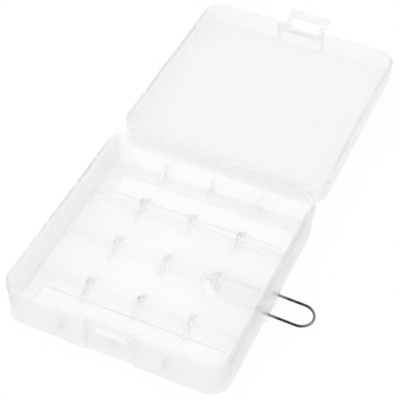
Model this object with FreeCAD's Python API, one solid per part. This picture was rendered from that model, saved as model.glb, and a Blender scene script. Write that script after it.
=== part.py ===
"""Flip-lid storage case for round battery cells that lie side by side.

The tray and the lid are trays of the same outline, joined along their backs by a thin web
that bends. The lid lies open and flat behind the tray. A clasp flap hangs on a second web
at the lid's free side, and a wire bail swings out of the tray's right side.

While the case is built, X runs across it from its middle, Y from the front of the tray
towards the lid, and Z up from the surface that the feet stand on. At the end everything
moves so that the origin is at the bottom centre of the whole open object.
"""

import FreeCAD
import Part
import math
import os

Vector = FreeCAD.Vector

# ---- Driving dimensions, in millimetres and degrees ----

# Cells that the case holds
cell_count = 4
cell_diameter = 18.4
cell_length = 69.0
cell_gap = 0.35  # free room between neighbouring cells
cell_end_gap = 0.4  # free room at each end of a cell, at the rim
row_end_gap = 0.15  # extra room in front of the first cell and behind the last
cell_headroom = 1.2  # free room between a cell and the closed lid

# Tray
base_height = 14.7
base_wall = 1.3
base_floor = 1.9
base_lean = 0.2  # how far the wall leans in from the rim to its foot
corner_radius = 7.0
band_proud = 0.3  # the band under the rim stands out this far
band_height = 3.0
band_edge = 0.25
foot_height = 0.5
foot_well_length = 61.0
foot_well_width = 9.2
foot_well_radius = 1.3
foot_well_wall = 1.0
foot_well_shift = 0.45  # from the middle of the cell above, towards the middle of the tray
foot_well_depth = 0.7
underside_round = 1.2
inside_round = 0.7

# Dividers between the cells and the fins that cradle them
divider_height = 2.2
divider_thickness = 1.0
fin_height = 4.9
fin_half_length = 6.0
fin_thickness = 0.9
fin_spacing = 17.0
fins_per_row = 3
cradle_gap = 0.3
end_fin_length = 5.0

# Lid
lid_wall = 1.2
lid_top = 1.0
lid_lean = 0.2
rim_gap = 0.1  # between the two rims when the case is shut

# Web that joins tray and lid
hinge_gap = 1.7
web_thickness = 0.35
web_split = 0.2  # free gap at the bending line

# Recess down the middle of both front walls, and the clasp that folds into it
recess_width = 15.6
recess_depth = 1.5
recess_wall = 0.9
clasp_side_gap = 0.3
clasp_back_gap = 0.2
clasp_thickness = 1.2
clasp_length = 10.9
clasp_drop = 3.0  # the bending line lies this far from the lid's rim
clasp_web_length = 1.0
clasp_web_thickness = 0.3
clasp_web_split = 0.3
clasp_rest_angle = 10.0
clasp_corner = 0.6
window_side = 1.9
window_start = 1.0
window_length = 6.9
window_corner = 0.5
lip_length = 2.2
lip_rise = 0.8

# Catch bar that the window snaps over
catch_side_gap = 0.7
catch_gap = 0.35
catch_height = 1.4
catch_proud = 1.0
catch_slope = 0.7

# Wire bail, its pivot and the pocket that it folds into
wire_diameter = 0.85
bail_width = 8.6  # between the middles of its legs
bail_reach = 17.0  # from the pivot to the outside of its round end
bail_droop = 2.0  # degrees below level at which its stiff pins hold it
bail_bend_radius = 1.0
pivot_pin_length = 1.5
pivot_bore_gap = 0.06
pivot_inset = 3.6  # from the outside of the band
pivot_height = 2.5
pivot_slot = 0.9
bail_side_gap = 0.2
bail_top_gap = 0.15
bail_slot_gap = 0.3
pocket_wall = 0.7
pocket_roof = 0.5
pocket_end_room = 3.2  # finger room past the folded bail's end
island_floor = 0.8
island_wall = 0.45
island_end_gap = 0.15
ear_length = 1.9  # from the pivot to the end of the well in the pocket
well_corner = 0.9
well_rib_height = 0.9
well_rib_thickness = 0.45
well_rib_end_gap = 0.7

# ---- Sizes and places that follow ----

over = 1.0  # how far a cutting tool runs past what it cuts

cell_radius = cell_diameter / 2
cell_pitch = cell_diameter + cell_gap
inner_width = cell_length + 2 * cell_end_gap
inner_depth = cell_count * cell_pitch + 2 * row_end_gap
case_width = inner_width + 2 * (base_wall + band_proud)
case_depth = inner_depth + 2 * (base_wall + band_proud)
middle_y = case_depth / 2
half_width = case_width / 2

underside_z = foot_height
floor_z = underside_z + base_floor
rim_z = base_height
lid_height = floor_z + cell_diameter + cell_headroom + lid_top - base_height
lid_front_y = case_depth + hinge_gap
lid_middle_y = lid_front_y + case_depth / 2
lid_end_y = lid_front_y + case_depth
lid_underside_z = rim_z - lid_height

hinge_y = case_depth + hinge_gap / 2
hinge_z = rim_z + rim_gap / 2
web_half_length = half_width - corner_radius

clasp_width = recess_width - 2 * clasp_side_gap
clasp_face_y = lid_end_y - recess_depth
clasp_y = clasp_face_y + clasp_web_length / 2
clasp_z = rim_z - clasp_drop
clasp_top = clasp_web_length / 2 - clasp_back_gap
window_end = window_start + window_length
window_width = clasp_width - 2 * window_side

clasp_shut_z = 2 * hinge_z - clasp_z
catch_low_z = clasp_shut_z - window_end + catch_gap
catch_width = window_width - 2 * catch_side_gap

wire_radius = wire_diameter / 2
bail_half = bail_width / 2
pivot_x = half_width - pivot_inset
bail_line_reach = bail_reach - wire_radius
pocket_room = bail_half + wire_radius + bail_side_gap
pocket_half = pocket_room + pocket_wall
pocket_end_x = pivot_x - bail_reach - pocket_end_room
pocket_roof_z = pivot_height + wire_radius + bail_top_gap
pocket_top_z = pocket_roof_z + pocket_roof
island_half = bail_half - wire_radius - bail_side_gap
island_end_x = pivot_x - bail_reach + wire_diameter + island_end_gap
island_top_z = underside_z + island_floor
well_half = island_half - island_wall
well_end_x = island_end_x + island_wall
well_stop_x = pivot_x - ear_length
ear_half = bail_half - bail_bend_radius


# ---- Building blocks ----


def box(x_low, x_high, y_low, y_high, z_low, z_high):
    """Plain block between those limits."""
    size = (x_high - x_low, y_high - y_low, z_high - z_low)
    return Part.makeBox(*size, Vector(x_low, y_low, z_low))


def rounded_outline(width, depth, radius, z, centre_y):
    """Closed wire of a rectangle with round corners, flat at height z."""
    edges = []
    corner_x, corner_y = width / 2 - radius, depth / 2 - radius
    centres = [(corner_x, corner_y), (-corner_x, corner_y), (-corner_x, -corner_y), (corner_x, -corner_y)]
    ends = []
    for turn, (x, y) in enumerate(centres):
        start, middle, end = (
            Vector(
                x + radius * math.cos(math.radians(angle)),
                centre_y + y + radius * math.sin(math.radians(angle)),
                z,
            )
            for angle in (90 * turn, 90 * turn + 45, 90 * turn + 90)
        )
        edges.append(Part.Arc(start, middle, end).toShape())
        ends.append((start, end))
    sides = [
        Part.LineSegment(ends[turn][1], ends[(turn + 1) % len(ends)][0]).toShape()
        for turn in range(len(ends))
    ]
    outline = []
    for arc, side in zip(edges, sides):
        outline += [arc, side]
    return Part.Wire(outline)


def rounded_block(width, depth, radius, z_low, z_high, centre_y):
    """Upright block with round corners."""
    face = Part.Face(rounded_outline(width, depth, radius, z_low, centre_y))
    return face.extrude(Vector(0, 0, z_high - z_low))


def leaning_block(width, depth, radius, z_low, z_high, centre_y, slope):
    """Block with round corners, that wide at rim_z, whose sides lean in by slope per millimetre of depth."""
    outlines = []
    for z in (z_low, z_high):
        inset = slope * (rim_z - z)
        outlines.append(
            rounded_outline(width - 2 * inset, depth - 2 * inset, radius - inset, z, centre_y)
        )
    return Part.makeLoft(outlines, True, True)


def edges_at(shape, z):
    """Edges of the shape that lie flat at height z."""
    return [
        edge
        for edge in shape.Edges
        if abs(edge.BoundBox.ZMin - z) < 1e-4 and abs(edge.BoundBox.ZMax - z) < 1e-4
    ]


def obround(x_end, x_stop, half, z_low, z_high):
    """Block along X about the case's middle, with a half-round end at x_end and a flat one at x_stop."""
    tongue = box(x_end + half, x_stop, middle_y - half, middle_y + half, z_low, z_high)
    end = Part.makeCylinder(half, z_high - z_low, Vector(x_end + half, middle_y, z_low))
    return tongue.fuse(end).removeSplitter()


def cylinder_x(radius, x_low, x_high, y, z):
    """Cylinder that lies along X."""
    return Part.makeCylinder(radius, x_high - x_low, Vector(x_low, y, z), Vector(1, 0, 0))


def front_recess(face_y, outward, z_low):
    """Tool for the clasp's recess: from outside the wall in to face_y, past the rim and the underside."""
    near, far = sorted((face_y, face_y + outward * (recess_depth + over)))
    half = recess_width / 2
    return box(-half, half, near, far, z_low - over, rim_z + over)


def recess_back(face_y, inward, z_low):
    """The wall's own thickness behind the recess, where it stands into the case."""
    near, far = sorted((face_y, face_y + inward * recess_wall))
    half = recess_width / 2 + recess_wall
    return box(-half, half, near, far, z_low, rim_z + over)


# ---- Tray ----

base_slope = base_lean / (rim_z - underside_z)


def base_cavity():
    """Space inside the tray, down to its floor, with the front recess's back standing into it."""
    space = leaning_block(
        inner_width, inner_depth, corner_radius - band_proud - base_wall,
        floor_z, rim_z + over, middle_y, base_slope,
    )
    space = space.makeFillet(inside_round, edges_at(space, floor_z))
    return space.cut(recess_back(recess_depth, 1, underside_z))


def foot_centres():
    """Middles of the two long feet, near those of the first and the last cell."""
    reach = (cell_count - 1) / 2 * cell_pitch - foot_well_shift
    return [middle_y - reach, middle_y + reach]


def pocket_block():
    """Outer shape of the bail's pocket, run on through the right wall."""
    return obround(pocket_end_x, half_width, pocket_half, underside_z, pocket_top_z)


def bail_slots():
    """Slots through the foot of the right wall, one for each leg of the bail."""
    half = wire_radius + bail_slot_gap
    return [
        box(
            pivot_x, half_width + over,
            middle_y + side * bail_half - half, middle_y + side * bail_half + half,
            underside_z - over, pivot_height + wire_radius + bail_slot_gap,
        )
        for side in (-1, 1)
    ]


def base_tray():
    """Floor, feet and walls in one, with the band under the rim and the front recess."""
    wall_width = case_width - 2 * band_proud
    wall_depth = case_depth - 2 * band_proud
    body = leaning_block(
        wall_width, wall_depth, corner_radius - band_proud, underside_z, rim_z, middle_y, base_slope
    )
    body = body.makeFillet(underside_round, edges_at(body, underside_z))
    band_z = rim_z - band_height
    band = rounded_block(case_width, case_depth, corner_radius, band_z, rim_z, middle_y)
    band = band.makeFillet(band_edge, edges_at(band, band_z) + edges_at(band, rim_z))
    body = body.fuse(band)
    for y in foot_centres():
        foot = rounded_block(
            foot_well_length + 2 * foot_well_wall, foot_well_width + 2 * foot_well_wall,
            foot_well_radius + foot_well_wall, 0, floor_z, y,
        )
        body = body.fuse(foot)
    body = body.cut(base_cavity())
    body = body.cut(front_recess(recess_depth, -1, underside_z))
    for y in foot_centres():
        body = body.cut(
            rounded_block(
                foot_well_length, foot_well_width, foot_well_radius,
                floor_z - foot_well_depth, floor_z + over, y,
            )
        )
    pocket_floor = obround(pocket_end_x, half_width, pocket_half, underside_z - over, floor_z)
    body = body.cut(pocket_floor.common(base_cavity_column()))
    for slot in bail_slots():
        body = body.cut(slot)
    return body.removeSplitter()


def base_cavity_column():
    """Upright column of the tray's inside at floor level, run down through the floor."""
    inset = base_slope * (rim_z - floor_z)
    return rounded_block(
        inner_width - 2 * inset, inner_depth - 2 * inset, corner_radius - band_proud - base_wall - inset,
        underside_z - over, floor_z, middle_y,
    )


def divider_ys():
    """Places of the dividers, between one cell and the next."""
    return [middle_y + (place - cell_count / 2) * cell_pitch for place in range(1, cell_count)]


def fin_xs():
    """Places of the fins along a row."""
    return [(place - (fins_per_row - 1) / 2) * fin_spacing for place in range(fins_per_row)]


def cell_spaces():
    """Room that each cell takes, with the cradle's gap round it."""
    first_y = middle_y - (cell_count - 1) / 2 * cell_pitch
    return [
        cylinder_x(
            cell_radius + cradle_gap, -half_width, half_width,
            first_y + place * cell_pitch, floor_z + cell_radius,
        )
        for place in range(cell_count)
    ]


def cell_dividers():
    """Low ridges across the floor, one between each cell and the next."""
    ridges = []
    for y in divider_ys():
        ridge = box(
            -half_width, half_width,
            y - divider_thickness / 2, y + divider_thickness / 2, floor_z, floor_z + divider_height,
        )
        ridges.append(ridge.common(base_cavity()).cut(pocket_block()))
    return Part.makeCompound(ridges)


def fin(x, y_low, y_high):
    """One upright fin, hollowed to the cells beside it."""
    plate = box(x - fin_thickness / 2, x + fin_thickness / 2, y_low, y_high, floor_z, floor_z + fin_height)
    for cell in cell_spaces():
        plate = plate.cut(cell)
    return plate.common(base_cavity())


def cradle_fins():
    """Fins that stand astride the dividers, the one over the pocket on its roof."""
    ridges = cell_dividers()
    reach = max(fin_half_length, pocket_half) + over
    under_roof = box(
        pocket_end_x, half_width, middle_y - reach, middle_y + reach, underside_z, pocket_top_z
    )
    return Part.makeCompound([
        fin(x, y - fin_half_length, y + fin_half_length).cut(ridges).cut(under_roof)
        for y in divider_ys()
        for x in fin_xs()
    ])


def wall_fins():
    """Half fins against the front and the back wall."""
    front_y = band_proud + base_wall + base_slope * (rim_z - floor_z) + end_fin_length
    return Part.makeCompound([
        fin(x, y_low, y_high)
        for y_low, y_high in ((0, front_y), (case_depth - front_y, case_depth))
        for x in fin_xs()
    ])


def hook_pocket():
    """Housing in the floor for the folded bail, with the ear that its pins turn in."""
    block = pocket_block().cut(base_tray())
    room = obround(pocket_end_x + pocket_wall, half_width, pocket_room, underside_z - over, pocket_roof_z)
    island = obround(island_end_x, well_stop_x, island_half, underside_z, pocket_top_z)
    ear = box(
        well_stop_x, half_width, middle_y - ear_half, middle_y + ear_half, underside_z, pocket_top_z
    )
    block = block.cut(room.cut(island).cut(ear))
    well_height = pocket_top_z + over - island_top_z
    well = obround(well_end_x, well_stop_x, well_half, island_top_z, pocket_top_z + over)
    corners = [
        edge
        for edge in well.Edges
        if abs(edge.BoundBox.XMin - well_stop_x) < 1e-4 and abs(edge.Length - well_height) < 1e-4
    ]
    block = block.cut(well.makeFillet(well_corner, corners))
    rib = box(
        well_end_x + well_rib_end_gap, well_stop_x - well_rib_end_gap,
        middle_y - well_rib_thickness / 2, middle_y + well_rib_thickness / 2,
        island_top_z, island_top_z + well_rib_height,
    )
    block = block.fuse(rib)
    bore = Part.makeCylinder(
        wire_radius + pivot_bore_gap, 2 * pocket_half,
        Vector(pivot_x, middle_y - pocket_half, pivot_height), Vector(0, 1, 0),
    )
    slot = box(
        pivot_x - pivot_slot / 2, pivot_x + pivot_slot / 2,
        middle_y - ear_half, middle_y + ear_half, underside_z - over, pivot_height,
    )
    return block.cut(bore.common(box(
        well_stop_x, half_width, middle_y - ear_half, middle_y + ear_half, 0, pocket_top_z
    ))).cut(slot)


def catch_bar():
    """Wedge across the recess, flat below so that the clasp's window holds under it."""
    out_y = recess_depth - catch_proud
    high_z = catch_low_z + catch_height
    half = catch_width / 2
    profile = Part.makePolygon([
        Vector(-half, recess_depth, catch_low_z),
        Vector(-half, out_y, catch_low_z),
        Vector(-half, out_y, high_z - catch_slope),
        Vector(-half, recess_depth, high_z),
        Vector(-half, recess_depth, catch_low_z),
    ])
    return Part.Face(profile).extrude(Vector(catch_width, 0, 0))


def hinge_web_base():
    """Tray's half of the bending web along the back."""
    return box(
        -web_half_length, web_half_length, case_depth, hinge_y - web_split / 2,
        rim_z - web_thickness, rim_z,
    )


# ---- Lid, open and flat behind the tray ----

lid_slope = lid_lean / lid_height


def lid_shell():
    """Shallow tray of the same outline, with the clasp's recess in its far wall."""
    body = leaning_block(
        case_width, case_depth, corner_radius, lid_underside_z, rim_z, lid_middle_y, lid_slope
    )
    body = body.makeFillet(underside_round, edges_at(body, lid_underside_z))
    lid_floor_z = lid_underside_z + lid_top
    space = leaning_block(
        case_width - 2 * lid_wall, case_depth - 2 * lid_wall, corner_radius - lid_wall,
        lid_floor_z, rim_z + over, lid_middle_y, lid_slope,
    )
    space = space.makeFillet(inside_round, edges_at(space, lid_floor_z))
    space = space.cut(recess_back(clasp_face_y, -1, lid_underside_z))
    body = body.cut(space)
    return body.cut(front_recess(clasp_face_y, 1, lid_underside_z)).removeSplitter()


def hinge_web_lid():
    """Lid's half of the bending web along the back."""
    return box(
        -web_half_length, web_half_length, hinge_y + web_split / 2, lid_front_y,
        rim_z - web_thickness, rim_z,
    )


def clasp_web_lid():
    """Lid's half of the clasp's web, on the face of the recess."""
    half = clasp_width / 2
    return box(
        -half, half, clasp_face_y, clasp_y - clasp_web_split / 2, clasp_z - clasp_web_thickness, clasp_z
    )


# ---- Clasp, drawn level and then tilted to the angle that it rests at ----


def at_clasp_angle(shape):
    """The shape turned up about the clasp's bending line."""
    shape.rotate(Vector(0, clasp_y, clasp_z), Vector(1, 0, 0), clasp_rest_angle)
    return shape


def clasp_flap():
    """Frame round a window, with a turned-up lip to pull it by."""
    low_z, high_z = clasp_z + clasp_top - clasp_thickness, clasp_z + clasp_top
    root_y, tip_y = clasp_y + clasp_web_length / 2, clasp_y + clasp_length
    half = clasp_width / 2
    plate = box(-half, half, root_y, tip_y, low_z, high_z)
    tip_edges = [
        edge
        for edge in plate.Edges
        if abs(edge.BoundBox.YMin - tip_y) < 1e-4 and abs(edge.Length - clasp_thickness) < 1e-4
    ]
    plate = plate.makeFillet(clasp_corner, tip_edges)
    lip = Part.Face(Part.makePolygon([
        Vector(-half, tip_y - lip_length, low_z),
        Vector(-half, tip_y, low_z),
        Vector(-half, tip_y, low_z - lip_rise),
        Vector(-half, tip_y - lip_length, low_z),
    ])).extrude(Vector(clasp_width, 0, 0))
    inside = rounded_block(
        clasp_width, 2 * clasp_length, clasp_corner, low_z - lip_rise, high_z, tip_y - clasp_length
    )
    plate = plate.fuse(lip.common(inside))
    window = rounded_block(
        window_width, window_length, window_corner, low_z - over, high_z + over,
        clasp_y + window_start + window_length / 2,
    )
    return at_clasp_angle(plate.cut(window).removeSplitter())


def clasp_web_flap():
    """Flap's half of the clasp's web."""
    half = clasp_width / 2
    return at_clasp_angle(box(
        -half, half, clasp_y + clasp_web_split / 2, clasp_y + clasp_web_length / 2,
        clasp_z - clasp_web_thickness, clasp_z,
    ))


# ---- Bail ----


def wire_bail():
    """Steel wire bent to a long U, its two ends turned in as pivot pins."""
    end_x = pivot_x + bail_line_reach - bail_half
    bend = bail_bend_radius
    corner = bend * (1 - math.sqrt(0.5))

    def at(x, y):
        return Vector(x, middle_y + y, pivot_height)

    pin_y = ear_half - pivot_pin_length
    near_leg, far_leg = -bail_half, bail_half
    path = Part.Wire([
        Part.LineSegment(at(pivot_x, -pin_y), at(pivot_x, near_leg + bend)).toShape(),
        Part.Arc(
            at(pivot_x, near_leg + bend), at(pivot_x + corner, near_leg + corner), at(pivot_x + bend, near_leg)
        ).toShape(),
        Part.LineSegment(at(pivot_x + bend, near_leg), at(end_x, near_leg)).toShape(),
        Part.Arc(at(end_x, near_leg), at(end_x + bail_half, 0), at(end_x, far_leg)).toShape(),
        Part.LineSegment(at(end_x, far_leg), at(pivot_x + bend, far_leg)).toShape(),
        Part.Arc(
            at(pivot_x + bend, far_leg), at(pivot_x + corner, far_leg - corner), at(pivot_x, far_leg - bend)
        ).toShape(),
        Part.LineSegment(at(pivot_x, far_leg - bend), at(pivot_x, pin_y)).toShape(),
    ])
    section = Part.Wire([Part.Circle(at(pivot_x, -pin_y), Vector(0, 1, 0), wire_radius).toShape()])
    bail = path.makePipeShell([section], True, False)
    bail.rotate(Vector(pivot_x, middle_y, pivot_height), Vector(0, 1, 0), bail_droop)
    return bail


# ---- The whole case ----

nodes = {
    "base_tray": base_tray(),
    "cell_dividers": cell_dividers(),
    "cradle_fins": cradle_fins(),
    "wall_fins": wall_fins(),
    "hook_pocket": hook_pocket(),
    "catch_bar": catch_bar(),
    "hinge_web_base": hinge_web_base(),
    "lid_shell": lid_shell(),
    "hinge_web_lid": hinge_web_lid(),
    "clasp_web_lid": clasp_web_lid(),
    "clasp_flap": clasp_flap(),
    "clasp_web_flap": clasp_web_flap(),
    "wire_bail": wire_bail(),
}

bail_end_x = pivot_x + bail_line_reach * math.cos(math.radians(bail_droop)) + wire_radius
clasp_tilt = math.radians(clasp_rest_angle)
lip_depth = clasp_thickness + lip_rise - clasp_top
clasp_end_y = clasp_y + clasp_length * math.cos(clasp_tilt) + lip_depth * math.sin(clasp_tilt)
origin = Vector((bail_end_x - half_width) / 2, clasp_end_y / 2, 0)

os.makedirs("parts", exist_ok=True)
for name, shape in nodes.items():
    shape.translate(-origin)
    shape.exportStep(f"parts/{name}.step")
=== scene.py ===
"""Flip-lid battery case: the moulded see-through plastic, its bending webs and its wire bail."""

import math

import bpy
from bpy.props import FloatProperty, FloatVectorProperty, PointerProperty
from bpy.types import Operator, Panel, PropertyGroup
from mathutils import Matrix, Vector


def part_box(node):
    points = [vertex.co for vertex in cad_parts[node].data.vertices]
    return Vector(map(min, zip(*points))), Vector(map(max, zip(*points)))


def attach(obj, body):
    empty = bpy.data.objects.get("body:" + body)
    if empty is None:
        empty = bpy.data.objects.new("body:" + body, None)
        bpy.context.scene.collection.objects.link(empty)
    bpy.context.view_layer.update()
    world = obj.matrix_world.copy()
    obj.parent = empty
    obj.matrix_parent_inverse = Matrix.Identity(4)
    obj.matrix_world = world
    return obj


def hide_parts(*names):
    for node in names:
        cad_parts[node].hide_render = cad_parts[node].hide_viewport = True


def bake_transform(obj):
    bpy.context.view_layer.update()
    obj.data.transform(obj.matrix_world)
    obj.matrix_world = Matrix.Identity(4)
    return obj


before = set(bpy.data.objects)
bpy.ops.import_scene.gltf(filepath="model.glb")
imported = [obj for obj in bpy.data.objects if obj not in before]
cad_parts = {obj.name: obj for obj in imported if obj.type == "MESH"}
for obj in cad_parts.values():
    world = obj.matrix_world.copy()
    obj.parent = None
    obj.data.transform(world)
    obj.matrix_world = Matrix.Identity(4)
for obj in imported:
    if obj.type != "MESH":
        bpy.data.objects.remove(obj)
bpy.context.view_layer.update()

bl_info = {
    "name": "Flip-lid battery case",
    "version": (1, 0, 0),
    "blender": (4, 5, 0),
    "location": "View3D > Sidebar > Battery Case",
    "description": "Dresses a flip-lid battery case in moulded plastic and steel wire",
    "category": "Object",
}

MILLIMETRE = 0.001

# How the skins are joined and softened
MERGE = 0.001 * MILLIMETRE  # corners this near are one corner
SLIVER = 0.004 * MILLIMETRE  # faces narrower than this are closed up
FOLD = 0.04 * MILLIMETRE  # the same, where the fins cross the ridges
TOUCH = 0.03 * MILLIMETRE  # skins this near lie on each other
SINK = 0.1 * MILLIMETRE  # how deep a joined skin reaches into its host
SHARP = math.radians(30)  # edges that bend more than this stay sharp
LEVEL = math.radians(0.05)  # faces that bend less than this are one flat face
RIM_STEPS = ((0.3, 1.0), (0.7, 0.3))  # inset and drop of each loop, as shares of the rounding
FLAT_TOP = 0.99  # a face whose normal rises more than this is a level top
LYING = 0.8  # a face whose normal rises more than this is no wall
FACING = 0.35  # least share of a wall's normal that points away from the middle
HINGE_SIDE = 3 * MILLIMETRE  # outer faces this near the hinge also get the inner faces' painted light
BANDS = 12  # bands across a bending web

# The CAD nodes that are moulded in one, in the order of their joining
TRAY_NODES = ("base_tray", "hook_pocket", "cell_dividers", "cradle_fins", "wall_fins", "catch_bar")
FIN_NODES = ("cradle_fins", "wall_fins")
ALONG = Vector((0, 1, 0))  # from the tray to the lid

# Finishes
SEE_THROUGH = 0.78  # share of the light that passes the plastic's skin
SEE_THROUGH_OUTSIDE = 0.75  # the same, on the walls' outer faces
SEE_THROUGH_INSIDE = 0.84  # and on their inner faces
CLOUDED = (0.992, 0.991, 0.984)  # shares of red, green and blue that the clouds keep
HIGHLIGHT_END = (4 * MILLIMETRE, 1 * MILLIMETRE)  # painted highlight: the wire is painted brighter between these, from its round end
HIGHLIGHT_ROOT = (3.5 * MILLIMETRE, 1 * MILLIMETRE)  # painted light: the same, from the tray's wall, standing in for the plastic's haze over the wire near the case

# Stage
FLOOR_SIZE = 3
SHADOW_LEFT = 0.07  # share of the floor's own shading that stays, for the shadow
LAMP_PLACE = Vector((-0.15, -0.55, 0.45))
LAMP_SIZE = 0.5
LAMP_POWER = 1.0
SENSOR = 36
FOCAL_LENGTH = 3.12825 * SENSOR
CAMERA_AIM = Vector((-2.80, 72.33, -13.97)) * MILLIMETRE  # from the middle of the tray's front rim
CAMERA_DISTANCE = 415.6 * MILLIMETRE
CAMERA_TURN = math.radians(21.72)
CAMERA_RISE = math.radians(44.96)
CAMERA_ROLL = math.radians(3.09)
NEAREST_SEEN = 0.01


class CaseShapes(PropertyGroup):
    """Sizes that the case's looks add to its solids."""

    mould_round: FloatProperty(
        name="Mould rounding",
        description="Radius that the mould leaves along every outer edge",
        default=0.14 * MILLIMETRE, unit="LENGTH",
    )
    wire_round: FloatProperty(
        name="Wire rounding",
        description="Radius along the edges of the wire's cut ends",
        default=0.02 * MILLIMETRE, unit="LENGTH",
    )


class CaseFinishes(PropertyGroup):
    """Colours of the plastic, the wire and the stage."""

    plastic: FloatVectorProperty(
        name="Plastic", description="Colour of the milky plastic",
        default=(0.975, 0.975, 0.973), subtype="COLOR", size=3, min=0, max=1,
    )
    # painted shade: the walls' outer faces are painted darker than the inner ones, to stand in for
    # the shade on them
    outside_shaded: FloatVectorProperty(
        name="Outside", description="Colour of the walls' satin outer faces, painted darker as shade",
        default=(0.876, 0.876, 0.872), subtype="COLOR", size=3, min=0, max=1,
    )
    # painted shade: the fins are painted greyer, to stand in for the shade of thin fins seen on
    # edge
    fins: FloatVectorProperty(
        name="Fins", description="Colour of the thin fins, painted greyer as the shade of fins on edge",
        default=(0.96, 0.96, 0.957), subtype="COLOR", size=3, min=0, max=1,
    )
    # painted light: the walls' inner faces are painted lighter, to stand in for the light that
    # falls on them
    inside: FloatVectorProperty(
        name="Inside", description="Colour of the walls' inner faces, painted lighter as light",
        default=(1.0, 1.0, 0.998), subtype="COLOR", size=3, min=0, max=1,
    )
    cloud: FloatVectorProperty(
        name="Cloud", description="Colour where the plastic is cloudier",
        default=(0.955, 0.954, 0.942), subtype="COLOR", size=3, min=0, max=1,
    )
    lid: FloatVectorProperty(
        name="Lid", description="Colour of the lid's plastic",
        default=(0.953, 0.953, 0.953), subtype="COLOR", size=3, min=0, max=1,
    )
    lid_cloud: FloatVectorProperty(
        name="Lid cloud", description="Colour where the lid's plastic is cloudier",
        default=(0.938, 0.938, 0.938), subtype="COLOR", size=3, min=0, max=1,
    )
    wire: FloatVectorProperty(
        name="Wire", description="Colour of the steel wire where it is tarnished",
        default=(0.022, 0.019, 0.017), subtype="COLOR", size=3, min=0, max=1,
    )
    # painted highlight: the wire is painted this brighter colour at its round end and near the case
    wire_highlight: FloatVectorProperty(
        name="Wire highlight", description="Colour of the steel wire in its painted highlights",
        default=(0.27, 0.255, 0.24), subtype="COLOR", size=3, min=0, max=1,
    )
    floor: FloatVectorProperty(
        name="Floor", description="Colour of the floor",
        default=(1.0, 1.0, 1.0), subtype="COLOR", size=3, min=0, max=1,
    )


# ---- Modelling ----


def deselect_all():
    """Leaves edit mode and clears the selection, so that operators act only on the new piece."""
    if bpy.context.object and bpy.context.object.mode != "OBJECT":
        bpy.ops.object.mode_set(mode="OBJECT")
    bpy.ops.object.select_all(action="DESELECT")


def merged_copy(node, name):
    """A copy of a CAD node with its loose triangles merged into one skin, left selected."""
    piece = bpy.data.objects.new(name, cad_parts[node].data.copy())
    piece.data.name = name
    piece.data.materials.clear()
    bpy.context.collection.objects.link(piece)
    select_only(piece)
    bpy.ops.mesh.customdata_custom_splitnormals_clear()
    bpy.ops.object.mode_set(mode="EDIT")
    bpy.ops.mesh.select_mode(type="EDGE")
    bpy.ops.mesh.select_all(action="SELECT")
    bpy.ops.mesh.remove_doubles(threshold=MERGE)
    bpy.ops.object.mode_set(mode="OBJECT")
    return piece


def select_only(piece):
    """Makes a piece the only one that the next operators act on."""
    deselect_all()
    piece.select_set(True)
    bpy.context.view_layer.objects.active = piece


def sink_into(piece, host):
    """Pushes what touches the host a little into it, so that they unite without a skin between."""
    for vertex in piece.data.vertices:
        found, place, normal, _ = host.closest_point_on_mesh(vertex.co)
        if found and (place - vertex.co).length < TOUCH:
            vertex.co -= normal * SINK


def unite(host, piece):
    """Joins a piece to its host as one moulding."""
    select_only(host)
    union = host.modifiers.new("Union", "BOOLEAN")
    union.operation = "UNION"
    union.solver = "EXACT"
    union.object = piece
    union.material_mode = "TRANSFER"
    bpy.ops.object.modifier_apply(modifier=union.name)
    bpy.data.objects.remove(piece)


def merge_between(piece, low, high):
    """Merges the slivers that the unions leave between those two heights."""
    select_only(piece)
    bpy.ops.object.mode_set(mode="EDIT")
    bpy.ops.mesh.select_mode(type="VERT")
    bpy.ops.mesh.select_all(action="DESELECT")
    bpy.ops.object.mode_set(mode="OBJECT")
    for vertex in piece.data.vertices:
        vertex.select = low < vertex.co.z < high
    bpy.ops.object.mode_set(mode="EDIT")
    bpy.ops.mesh.remove_doubles(threshold=FOLD)
    bpy.ops.object.mode_set(mode="OBJECT")


def clean_faces(piece):
    """Closes up a piece's slivers, and leaves it in edit mode."""
    select_only(piece)
    bpy.ops.object.mode_set(mode="EDIT")
    bpy.ops.mesh.select_mode(type="EDGE")
    bpy.ops.mesh.select_all(action="SELECT")
    bpy.ops.mesh.remove_doubles(threshold=SLIVER)
    bpy.ops.mesh.dissolve_degenerate(threshold=MERGE)


def round_rim(piece, rounding, height):
    """Rounds the rim at that height: two insets of its flat top, then the outer loops go down."""
    clean_faces(piece)
    bpy.ops.mesh.select_all(action="DESELECT")
    bpy.ops.mesh.select_mode(type="FACE")
    bpy.ops.object.mode_set(mode="OBJECT")
    for face in piece.data.polygons:
        face.select = face.normal.z > FLAT_TOP and abs(face.center.z - height) < TOUCH
    for inset, drop in RIM_STEPS:
        bpy.ops.object.mode_set(mode="EDIT")
        bpy.ops.mesh.inset(thickness=inset * rounding, depth=0)
        bpy.ops.object.mode_set(mode="OBJECT")
        top = {corner for face in piece.data.polygons if face.select for corner in face.vertices}
        for vertex in piece.data.vertices:
            if vertex.index not in top and abs(vertex.co.z - height) < TOUCH:
                vertex.co.z -= drop * rounding
    for vertex in piece.data.vertices:
        vertex.co.z = min(vertex.co.z, height)


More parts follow.
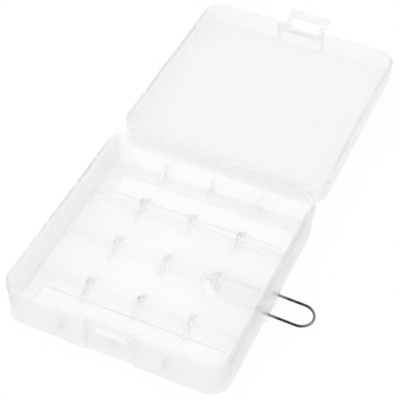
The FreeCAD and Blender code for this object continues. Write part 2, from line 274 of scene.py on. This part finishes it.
def finish_and_shade_walls(piece, outside_shaded, inside):
    """Gives the walls' outer faces a satin finish painted darker as shade, and their inner faces a
    finish painted lighter as light.
    """
    first = len(piece.data.materials)
    piece.data.materials.append(outside_shaded)
    piece.data.materials.append(inside)
    corners = [vertex.co for vertex in piece.data.vertices]
    low, high = (
        Vector(extreme(corner[axis] for corner in corners) for axis in range(3))
        for extreme in (min, max)
    )
    middle = (low + high) / 2
    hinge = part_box("hinge_web_base")[1].y
    for face in piece.data.polygons:
        if face.material_index == 0 and abs(face.normal.z) < LYING:
            outward = face.normal.dot(((face.center - middle) * Vector((1, 1, 0))).normalized())
            if abs(outward) > FACING:
                # painted light: inner faces, and outer faces near the hinge, get the inner colour
                # that is painted lighter
                milky = outward < 0 or abs(face.center.y - hinge) < HINGE_SIDE
                face.material_index = first + 1 if milky else first


def round_edges(piece, rounding):
    """Merges the triangles of each flat face and rounds the piece's sharp edges."""
    clean_faces(piece)
    bpy.ops.mesh.select_all(action="SELECT")
    bpy.ops.mesh.dissolve_limited(angle_limit=LEVEL)
    bpy.ops.mesh.select_all(action="DESELECT")
    bpy.ops.mesh.edges_select_sharp(sharpness=SHARP)
    bpy.ops.mesh.bevel(offset=rounding, segments=2, clamp_overlap=True, affect="EDGES")
    bpy.ops.object.mode_set(mode="OBJECT")


def smooth_faces(piece):
    """Shades curved faces smooth and keeps flat ones flat."""
    select_only(piece)
    bpy.ops.object.shade_smooth_by_angle(angle=SHARP)
    even = piece.modifiers.new("Even shading", "WEIGHTED_NORMAL")
    even.keep_sharp = True
    even.weight = 100
    bpy.ops.object.modifier_apply(modifier=even.name)


def moulding(name, nodes, finish, rounding, rim=None, walls=None):
    """One moulding of those CAD nodes, united in that order, with soft edges, in their place."""
    piece = merged_copy(nodes[0], name)
    piece.data.materials.append(finish)
    for node in nodes[1:]:
        part = merged_copy(node, node + "_part")
        part.data.materials.append(fin_plastic() if node in FIN_NODES else rib_plastic())
        if node != "hook_pocket":  # which joins cleanly as it lies
            sink_into(part, piece)
        unite(piece, part)
    if len(nodes) > 1:
        ridge_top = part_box("cell_dividers")[1].z
        merge_between(piece, ridge_top - SINK, ridge_top + SINK)
    if rim is None:
        round_edges(piece, rounding)
    else:
        round_rim(piece, rounding, rim)
    if walls:
        finish_and_shade_walls(piece, *walls)
    smooth_faces(piece)
    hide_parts(*nodes)
    return piece


# ---- Materials ----


def new_group(name, inputs, outputs):
    """Empty shader node group with those sockets, each given as (name, kind, default)."""
    group = bpy.data.node_groups.new(name, "ShaderNodeTree")
    for socket, kind, default in inputs:
        made = group.interface.new_socket(name=socket, in_out="INPUT", socket_type=kind)
        made.default_value = default
    for socket, kind in outputs:
        group.interface.new_socket(name=socket, in_out="OUTPUT", socket_type=kind)
    return group


def add_node(tree, kind, label, place, inputs=None, **settings):
    """Node of that kind, labelled and placed, with its own settings and unlinked inputs."""
    node = tree.nodes.new(kind)
    node.label = label
    node.location = place
    for key, value in settings.items():
        setattr(node, key, value)
    for key, value in (inputs or {}).items():
        node.inputs[key].default_value = value
    return node


def plain_tree(material):
    """Turns a new material's nodes on, and gives their tree and its shader."""
    material.use_nodes = True
    tree = material.node_tree
    return tree, tree.nodes["Principled BSDF"]


def moulded_plastic_group():
    """Cloudy colour, fine moulding texture and worn shine of see-through polypropylene."""
    group = new_group(
        "Moulded plastic skin",
        [
            ("Colour", "NodeSocketColor", (0.9, 0.9, 0.9, 1)),
            ("Cloud colour", "NodeSocketColor", (0.8, 0.8, 0.8, 1)),
            ("Cloud size", "NodeSocketFloat", 60.0),
            ("Shine", "NodeSocketFloat", 0.3),
        ],
        [
            ("Colour", "NodeSocketColor"),
            ("Roughness", "NodeSocketFloat"),
            ("Height", "NodeSocketFloat"),
        ],
    )
    links = group.links
    entry = add_node(group, "NodeGroupInput", "In", (-900, 0))
    leave = add_node(group, "NodeGroupOutput", "Out", (500, 0))
    place = add_node(group, "ShaderNodeTexCoord", "Place", (-900, -300))
    cloud = add_node(group, "ShaderNodeTexNoise", "Clouds", (-600, 200), {"Detail": 3})
    spread = add_node(
        group, "ShaderNodeMapRange", "Cloud spread", (-400, 200),
        {"From Min": 0.35, "From Max": 0.7},
    )
    blend = add_node(group, "ShaderNodeMix", "Cloudy colour", (-150, 200), data_type="RGBA")
    peel = add_node(
        group, "ShaderNodeTexNoise", "Mould texture", (-600, -200), {"Scale": 900, "Detail": 2}
    )
    scuff = add_node(
        group, "ShaderNodeMapRange", "Shine spread", (-150, -100), {"To Min": -0.03, "To Max": 0.06}
    )
    shine = add_node(group, "ShaderNodeMath", "Shine", (150, -100), operation="ADD")
    links.new(place.outputs["Object"], cloud.inputs["Vector"])
    links.new(entry.outputs["Cloud size"], cloud.inputs["Scale"])
    links.new(cloud.outputs["Fac"], spread.inputs["Value"])
    links.new(spread.outputs["Result"], blend.inputs["Factor"])
    links.new(entry.outputs["Colour"], blend.inputs["A"])
    links.new(entry.outputs["Cloud colour"], blend.inputs["B"])
    links.new(blend.outputs["Result"], leave.inputs["Colour"])
    links.new(place.outputs["Object"], peel.inputs["Vector"])
    links.new(cloud.outputs["Fac"], scuff.inputs["Value"])
    links.new(entry.outputs["Shine"], shine.inputs[0])
    links.new(scuff.outputs["Result"], shine.inputs[1])
    links.new(shine.outputs["Value"], leave.inputs["Roughness"])
    links.new(peel.outputs["Fac"], leave.inputs["Height"])
    return group


def plastic_material(name, colour, cloud, bending, shine, cloud_size, clear=SEE_THROUGH):
    """Milky polypropylene that bends the light by that much on its way through."""
    material = bpy.data.materials.new(name)
    tree, shader = plain_tree(material)
    group = bpy.data.node_groups.get("Moulded plastic skin") or moulded_plastic_group()
    skin = add_node(tree, "ShaderNodeGroup", "Skin", (-500, 0), node_tree=group)
    for key, value in (
        ("Colour", (*colour, 1)),
        ("Cloud colour", (*cloud, 1)),
        ("Cloud size", cloud_size),
        ("Shine", shine),
    ):
        skin.inputs[key].default_value = value
    bump = add_node(
        tree, "ShaderNodeBump", "Mould texture", (-250, -250),
        {"Strength": 0.08, "Distance": 0.05 * MILLIMETRE},
    )
    tree.links.new(skin.outputs["Colour"], shader.inputs["Base Color"])
    tree.links.new(skin.outputs["Roughness"], shader.inputs["Roughness"])
    tree.links.new(skin.outputs["Height"], bump.inputs["Height"])
    tree.links.new(bump.outputs["Normal"], shader.inputs["Normal"])
    shader.inputs["IOR"].default_value = bending
    shader.inputs["Transmission Weight"].default_value = clear
    return material


def finish_of(name, build):
    """The material of that name, made by build when it is first asked for."""
    return bpy.data.materials.get(name) or build(name)


def clouded(colour):
    """A slightly darker and yellower shade of a colour, for the clouds in it."""
    return tuple(part * share for part, share in zip(colour, CLOUDED))


def tray_plastic():
    """Plastic of the tray's floor and walls."""
    look = bpy.context.scene.case_finishes
    return finish_of("Tray plastic", lambda name: plastic_material(
        name, look.plastic, look.cloud, bending=1.06, shine=0.32, cloud_size=45
    ))


def outside_plastic():
    """Satin plastic of the walls' outer faces, painted darker as shade."""
    look = bpy.context.scene.case_finishes
    return finish_of("Outside plastic", lambda name: plastic_material(
        name, look.outside_shaded, clouded(look.outside_shaded), bending=1.06, shine=0.34,
        cloud_size=60, clear=SEE_THROUGH_OUTSIDE,
    ))


def inside_plastic():
    """Plastic of the walls' inner faces, painted lighter as the light that falls on them."""
    look = bpy.context.scene.case_finishes
    return finish_of("Inside plastic", lambda name: plastic_material(
        name, look.inside, clouded(look.inside), bending=1.05, shine=0.32,
        cloud_size=50, clear=SEE_THROUGH_INSIDE,
    ))


def rib_plastic():
    """Plastic of the low ridges, the bail's pocket and the catch bar, in the inner faces' colour
    with its painted light.
    """
    look = bpy.context.scene.case_finishes
    return finish_of("Rib plastic", lambda name: plastic_material(
        name, look.inside, clouded(look.inside), bending=1.07, shine=0.31, cloud_size=90
    ))


def fin_plastic():
    """Plastic of the fins, painted greyer as the shade of thin fins that stand on edge."""
    look = bpy.context.scene.case_finishes
    return finish_of("Fin plastic", lambda name: plastic_material(
        name, look.fins, clouded(look.fins), bending=1.07, shine=0.31, cloud_size=90
    ))


def lid_plastic():
    """Plastic of the lid and the clasp, a little greyer."""
    look = bpy.context.scene.case_finishes
    return finish_of("Lid plastic", lambda name: plastic_material(
        name, look.lid, look.lid_cloud, bending=1.07, shine=0.32, cloud_size=30
    ))


def web_plastic():
    """Plastic of the bending webs, whitened where it bends, in the inner faces' colour with its
    painted light.
    """
    look = bpy.context.scene.case_finishes
    return finish_of("Web plastic", lambda name: plastic_material(
        name, look.inside, clouded(look.inside), bending=1.06, shine=0.38, cloud_size=200
    ))


def wire_steel():
    """Dark drawn steel wire, with a painted highlight at its round end and painted light where it
    leaves the case.
    """
    return finish_of("Drawn steel wire", steel_material)


def steel_material(name):
    """Drawn steel with fine lines along X, tarnish in patches and painted highlights at two ends.
    """
    look = bpy.context.scene.case_finishes
    material = bpy.data.materials.new(name)
    tree, shader = plain_tree(material)
    links = tree.links
    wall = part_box("base_tray")[1].x
    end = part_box("wire_bail")[1].x
    place = add_node(tree, "ShaderNodeTexCoord", "Place", (-1300, 0))
    stretch = add_node(
        tree, "ShaderNodeMapping", "Along the wire", (-1100, 0), {"Scale": (60, 2600, 2600)}
    )
    lines = add_node(
        tree, "ShaderNodeTexNoise", "Drawing lines", (-900, 0), {"Scale": 1, "Detail": 3}
    )
    patches = add_node(tree, "ShaderNodeTexNoise", "Tarnish", (-900, 300), {"Scale": 260})
    along = add_node(tree, "ShaderNodeSeparateXYZ", "Along", (-900, 600))
    spots = add_node(
        tree, "ShaderNodeMapRange", "Tarnish spread", (-700, 300),
        {"From Min": 0.45, "From Max": 0.8, "To Max": 0.3},
    )
    # painted highlight at the round end and painted light near the tray's wall, in place of the
    # light on the wire
    end_highlight = add_node(
        tree, "ShaderNodeMapRange", "Painted highlight at round end", (-700, 600),
        {"From Min": end - HIGHLIGHT_END[0], "From Max": end - HIGHLIGHT_END[1]},
    )
    root_highlight = add_node(
        tree, "ShaderNodeMapRange", "Painted light at tray wall", (-700, 850),
        {"From Min": wall + HIGHLIGHT_ROOT[0], "From Max": wall + HIGHLIGHT_ROOT[1]},
    )
    ends = add_node(tree, "ShaderNodeMath", "Painted highlights at both ends", (-500, 700), operation="MAXIMUM")
    share = add_node(tree, "ShaderNodeMath", "Tarnish and painted highlight share", (-600, 450), operation="MAXIMUM")
    colour = add_node(
        tree, "ShaderNodeMix", "Tarnish and painted highlight colour", (-500, 300), data_type="RGBA"
    )
    colour.inputs["A"].default_value = (*look.wire, 1)
    colour.inputs["B"].default_value = (*look.wire_highlight, 1)
    shine = add_node(
        tree, "ShaderNodeMapRange", "Shine", (-500, 0), {"To Min": 0.22, "To Max": 0.5}
    )
    bump = add_node(
        tree, "ShaderNodeBump", "Drawn surface", (-250, -250),
        {"Strength": 0.25, "Distance": 0.02 * MILLIMETRE},
    )
    links.new(place.outputs["Object"], stretch.inputs["Vector"])
    links.new(stretch.outputs["Vector"], lines.inputs["Vector"])
    links.new(place.outputs["Object"], patches.inputs["Vector"])
    links.new(place.outputs["Object"], along.inputs["Vector"])
    links.new(along.outputs["X"], end_highlight.inputs["Value"])
    links.new(along.outputs["X"], root_highlight.inputs["Value"])
    links.new(patches.outputs["Fac"], spots.inputs["Value"])
    links.new(end_highlight.outputs["Result"], ends.inputs[0])
    links.new(root_highlight.outputs["Result"], ends.inputs[1])
    links.new(spots.outputs["Result"], share.inputs[0])
    links.new(ends.outputs["Value"], share.inputs[1])
    links.new(share.outputs["Value"], colour.inputs["Factor"])
    links.new(colour.outputs["Result"], shader.inputs["Base Color"])
    links.new(lines.outputs["Fac"], shine.inputs["Value"])
    links.new(shine.outputs["Result"], shader.inputs["Roughness"])
    links.new(lines.outputs["Fac"], bump.inputs["Height"])
    links.new(bump.outputs["Normal"], shader.inputs["Normal"])
    shader.inputs["Metallic"].default_value = 1
    return material


# ---- Pieces ----


def dress(piece, body):
    """Gives a piece the body that it moves with."""
    if body:
        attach(piece, body)


class CASE_OT_shells(Operator):
    """Tray with all that is moulded in it, lid and clasp"""

    bl_idname = "case.shells"
    bl_label = "Mouldings"

    def execute(self, context):
        rounding = context.scene.case_shapes.mould_round
        tray_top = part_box("base_tray")[1].z
        lid_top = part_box("lid_shell")[1].z
        tray_walls = (outside_plastic(), inside_plastic())
        lid_walls = (lid_plastic(), inside_plastic())
        for name, body, nodes, finish, rim, walls in (
            ("tray_moulding", "base", TRAY_NODES, tray_plastic(), tray_top, tray_walls),
            ("lid_moulding", "lid", ("lid_shell",), lid_plastic(), lid_top, lid_walls),
            ("clasp_moulding", "clasp", ("clasp_flap",), lid_plastic(), None, None),
        ):
            piece = moulding(name, nodes, finish, rounding, rim, walls)
            dress(piece, body)
        return {"FINISHED"}


def bending_strip(name, low, high):
    """Thin strip between two corners, cut into bands across."""
    deselect_all()
    size = high - low
    bpy.ops.mesh.primitive_cube_add(size=1, location=(low + high) / 2)
    strip = bpy.context.object
    strip.name = name
    strip.scale = size
    bpy.ops.object.transform_apply(location=True, rotation=False, scale=True)
    bpy.ops.object.mode_set(mode="EDIT")
    for band in range(1, BANDS):
        bpy.ops.mesh.select_all(action="SELECT")
        bpy.ops.mesh.bisect(plane_co=low + size * band / BANDS, plane_no=ALONG)
    bpy.ops.object.mode_set(mode="OBJECT")
    bpy.ops.object.shade_smooth_by_angle(angle=SHARP)
    return strip


class CASE_OT_webs(Operator):
    """Bending webs of the lid and the clasp"""

    bl_idname = "case.webs"
    bl_label = "Bending webs"

    def execute(self, context):
        for name, near, far, parent, child in (
            ("hinge_web", "hinge_web_base", "hinge_web_lid", "base", "lid"),
            ("clasp_web", "clasp_web_lid", "clasp_web_flap", "lid", "clasp"),
        ):
            low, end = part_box(near)
            start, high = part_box(far)
            low.z = min(low.z, start.z)
            high.z = max(end.z, high.z)
            strip = bending_strip(name, low, high)
            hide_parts(near, far)
            strip.data.materials.append(web_plastic())
            dress(strip, None)
            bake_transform(strip)
        return {"FINISHED"}


class CASE_OT_bail(Operator):
    """Wire bail"""

    bl_idname = "case.bail"
    bl_label = "Wire bail"

    def execute(self, context):
        rounding = context.scene.case_shapes.wire_round
        piece = moulding("wire_bail_skin", ("wire_bail",), wire_steel(), rounding)
        dress(piece, "bail")
        return {"FINISHED"}


# ---- Stage ----


def floor_material():
    """Pale floor that is white to the eye, in mirrors and through the plastic, but for a shadow."""
    paint = bpy.data.materials.new("Pale floor")
    tree, shader = plain_tree(paint)
    shader.inputs["Base Color"].default_value = (0.95, 0.95, 0.95, 1)
    shader.inputs["Roughness"].default_value = 1
    shader.inputs["Specular IOR Level"].default_value = 0
    glow = add_node(
        tree, "ShaderNodeEmission", "White ground", (0, -300),
        {"Color": (*bpy.context.scene.case_finishes.floor, 1)},
    )
    rays = add_node(tree, "ShaderNodeLightPath", "Rays", (-600, 300))
    seen = add_node(
        tree, "ShaderNodeMath", "Seen or mirrored", (-400, 300), operation="MAXIMUM"
    )
    through = add_node(
        tree, "ShaderNodeMath", "Or seen through", (-200, 300), operation="MAXIMUM"
    )
    share = add_node(
        tree, "ShaderNodeMath", "White share", (0, 300), {1: 1 - SHADOW_LEFT}, operation="MULTIPLY"
    )
    mix = add_node(tree, "ShaderNodeMixShader", "Ground", (300, 0))
    tree.links.new(rays.outputs["Is Camera Ray"], seen.inputs[0])
    tree.links.new(rays.outputs["Is Glossy Ray"], seen.inputs[1])
    tree.links.new(seen.outputs["Value"], through.inputs[0])
    tree.links.new(rays.outputs["Is Transmission Ray"], through.inputs[1])
    tree.links.new(through.outputs["Value"], share.inputs[0])
    tree.links.new(share.outputs["Value"], mix.inputs["Fac"])
    tree.links.new(shader.outputs["BSDF"], mix.inputs[1])
    tree.links.new(glow.outputs["Emission"], mix.inputs[2])
    tree.links.new(mix.outputs["Shader"], tree.nodes["Material Output"].inputs["Surface"])
    return paint


def add_floor():
    """The floor under the case."""
    deselect_all()
    bpy.ops.mesh.primitive_plane_add(size=FLOOR_SIZE, location=(0, 0, 0))
    floor = bpy.context.object
    floor.name = "stage_floor"
    floor.data.materials.append(floor_material())


def add_lights(scene):
    """An even white sky and one soft lamp, from the front and a little from the left."""
    world = bpy.data.worlds.new("Soft studio")
    scene.world = world
    world.use_nodes = True
    sky = world.node_tree.nodes["Background"]
    sky.inputs["Color"].default_value = (1, 1, 1, 1)
    sky.inputs["Strength"].default_value = 1
    lamp_data = bpy.data.lights.new("Key lamp", "AREA")
    lamp_data.size = LAMP_SIZE
    lamp_data.energy = LAMP_POWER
    lamp = bpy.data.objects.new("Key lamp", lamp_data)
    scene.collection.objects.link(lamp)
    lamp.location = LAMP_PLACE
    lamp.rotation_euler = (-LAMP_PLACE).to_track_quat("-Z", "Y").to_euler()


def add_camera(scene):
    """The camera, aimed at the case from above its front right corner."""
    low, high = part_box("base_tray")
    rim = Vector(((low.x + high.x) / 2, low.y, high.z))
    back = Vector((
        math.sin(CAMERA_TURN) * math.cos(CAMERA_RISE),
        -math.cos(CAMERA_TURN) * math.cos(CAMERA_RISE),
        math.sin(CAMERA_RISE),
    ))
    camera_data = bpy.data.cameras.new("Camera")
    camera_data.lens = FOCAL_LENGTH
    camera_data.sensor_width = SENSOR
    camera_data.clip_start = NEAREST_SEEN
    camera = bpy.data.objects.new("Camera", camera_data)
    scene.collection.objects.link(camera)
    camera.location = rim + CAMERA_AIM + back * CAMERA_DISTANCE
    camera.rotation_euler = (
        Matrix.Rotation(CAMERA_TURN, 3, "Z")
        @ Matrix.Rotation(math.pi / 2 - CAMERA_RISE, 3, "X")
        @ Matrix.Rotation(CAMERA_ROLL, 3, "Z")
    ).to_euler()
    scene.camera = camera


class CASE_OT_stage(Operator):
    """Floor, soft lights and camera"""

    bl_idname = "case.stage"
    bl_label = "Stage"

    def execute(self, context):
        scene = context.scene
        scene.view_settings.view_transform = "Standard"
        add_floor()
        add_lights(scene)
        add_camera(scene)
        return {"FINISHED"}


class CASE_PT_panel(Panel):
    """Sizes, finishes and builders of the battery case"""

    bl_idname = "CASE_PT_panel"
    bl_label = "Battery case"
    bl_space_type = "VIEW_3D"
    bl_region_type = "UI"
    bl_category = "Battery Case"

    def draw(self, context):
        for group in (context.scene.case_shapes, context.scene.case_finishes):
            for key in group.__annotations__:
                self.layout.prop(group, key)
        for operator in OPERATORS:
            self.layout.operator(operator.bl_idname)


OPERATORS = (CASE_OT_shells, CASE_OT_webs, CASE_OT_bail, CASE_OT_stage)
CLASSES = (CaseShapes, CaseFinishes, *OPERATORS, CASE_PT_panel)


def register():
    """Adds the classes and the case's settings to Blender."""
    for item in CLASSES:
        bpy.utils.register_class(item)
    bpy.types.Scene.case_shapes = PointerProperty(type=CaseShapes)
    bpy.types.Scene.case_finishes = PointerProperty(type=CaseFinishes)


def unregister():
    """Takes the classes and the case's settings out of Blender again."""
    del bpy.types.Scene.case_finishes
    del bpy.types.Scene.case_shapes
    for item in reversed(CLASSES):
        bpy.utils.unregister_class(item)


def main():
    """Builds the case and its stage."""
    register()
    bpy.ops.case.shells()
    bpy.ops.case.webs()
    bpy.ops.case.bail()
    bpy.ops.case.stage()


if __name__ == "__main__":
    main()
